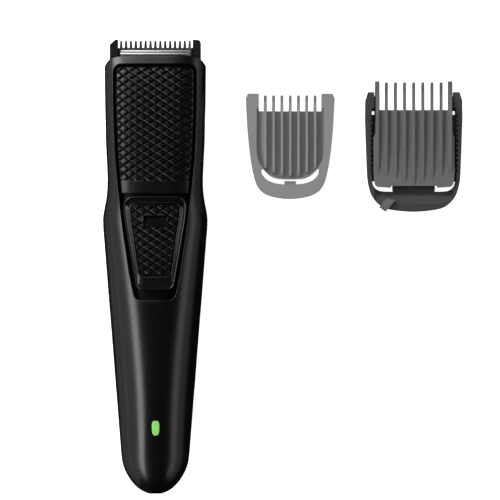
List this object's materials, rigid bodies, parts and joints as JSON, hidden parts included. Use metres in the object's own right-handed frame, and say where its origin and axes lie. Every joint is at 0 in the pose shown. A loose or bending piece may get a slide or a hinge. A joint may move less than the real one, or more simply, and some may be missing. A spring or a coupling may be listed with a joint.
{
  "type": "beard trimmer",
  "caption": "Slim cordless beard trimmer in satin black with a diamond grip, a power slider, a toothed steel head and its two guide combs.",
  "frame": {"origin": "on the flat rest land on the back of the handle, under the handle's own axis, halfway between the blade tips and the charging end", "axes": "+Y along the handle from the charging end to the blades, +X to the right seen from the front, +Z out of the front face"},
  "size_m": [0.1295, 0.1634, 0.0319],
  "materials": {
    "body_black": "satin black moulded plastic",
    "grip": "black plastic with a raised diamond texture",
    "slider_grey": "satin dark grey, brighter on its bevel",
    "inner_plastic": "matt black",
    "seal_rubber": "matt",
    "board_green": "solder mask",
    "copper": "enamelled wire",
    "cell_wrap": "shrink sleeve",
    "steel_plain": "plain steel",
    "blade_steel": "ground steel",
    "comb_light": "satin mid grey",
    "comb_dark": "satin dark grey",
    "lever_grey": "satin grey",
    "led_green": "lit translucent green"
  },
  "bodies": {
    "handle": {"front_shell": "body_black", "rear_shell": "body_black", "slider_track": "body_black", "grip_panel": "grip", "circuit_board": "board_green", "slide_switch": "steel_plain", "led": "led_green", "led_window": "led_green", "microcontroller": "inner_plastic", "charge_coil": "copper", "battery_cell": "cell_wrap", "battery_tab_plus": "steel_plain", "battery_tab_minus": "steel_plain", "charging_socket": "inner_plastic", "socket_pin_1": "steel_plain", "socket_pin_2": "steel_plain", "motor_can": "steel_plain", "motor_cradle": "inner_plastic", "head_bulkhead": "inner_plastic", "arm_pivot_pin": "steel_plain", "head_seal": "seal_rubber", "head_hinge_pin": "steel_plain", "case_screw_1": "steel_plain", "case_screw_2": "steel_plain", "case_screw_3": "steel_plain", "case_screw_4": "steel_plain"},
    "power_slider": {"power_slider_frame": "slider_grey", "power_slider_pad": "grip", "slider_stem": "inner_plastic"},
    "motor_rotor": {"motor_shaft": "steel_plain", "eccentric_cam": "inner_plastic"},
    "drive_lever": {"drive_arm": "inner_plastic"},
    "cutter_head": {"cutter_holder": "body_black", "fixed_blade": "blade_steel", "blade_screw_1": "steel_plain", "blade_screw_2": "steel_plain", "blade_spring": "steel_plain"},
    "cutter": {"moving_blade": "blade_steel", "blade_carrier": "blade_steel"},
    "small_comb": {"guide_comb": "comb_light"},
    "comb_cradle": {"comb_frame": "comb_dark"},
    "comb_slider": {"adjustable_comb": "comb_dark"},
    "comb_lock": {"comb_lock_lever": "lever_grey"}
  },
  "joints": [
    {"name": "power_slide", "type": "slide", "parent": "handle", "child": "power_slider", "axis": [0, 1, 0], "range_m": [-0.003, 0]},
    {"name": "motor_spin", "type": "hinge", "parent": "handle", "child": "motor_rotor", "pos_m": [0, 0.047, 0.014], "axis": [0, 1, 0], "continuous": true},
    {"name": "drive_lever_swing", "type": "hinge", "parent": "handle", "child": "drive_lever", "pos_m": [0, 0.066, 0.014], "axis": [0, 0, 1], "range_deg": [-4.5, 4.5]},
    {"name": "head_flip", "type": "hinge", "parent": "handle", "child": "cutter_head", "pos_m": [0, 0.0739, 0.0051], "axis": [-1, 0, 0], "range_deg": [0, 38]},
    {"name": "cutter_slide", "type": "slide", "parent": "cutter_head", "child": "cutter", "axis": [1, 0, 0], "range_m": [-0.00075, 0.00075]},
    {"name": "small_comb_lift", "type": "slide", "parent": "handle", "child": "small_comb", "axis": [0, 0, 1], "range_m": [0, 0.06]},
    {"name": "adjustable_comb_lift", "type": "slide", "parent": "handle", "child": "comb_cradle", "axis": [0, 0, 1], "range_m": [0, 0.06]},
    {"name": "comb_length_slide", "type": "slide", "parent": "comb_cradle", "child": "comb_slider", "axis": [0, 1, 0], "range_m": [0, 0.009]},
    {"name": "comb_lock_swing", "type": "hinge", "parent": "comb_cradle", "child": "comb_lock", "pos_m": [0.0847, 0.0236, 0.0135], "axis": [0, 0, 1], "range_deg": [0, 35]}
  ],
  "couplings": [
    {"joint": "drive_lever_swing", "follows": "cutter_slide", "rad_per_m": -102.04}
  ]
}
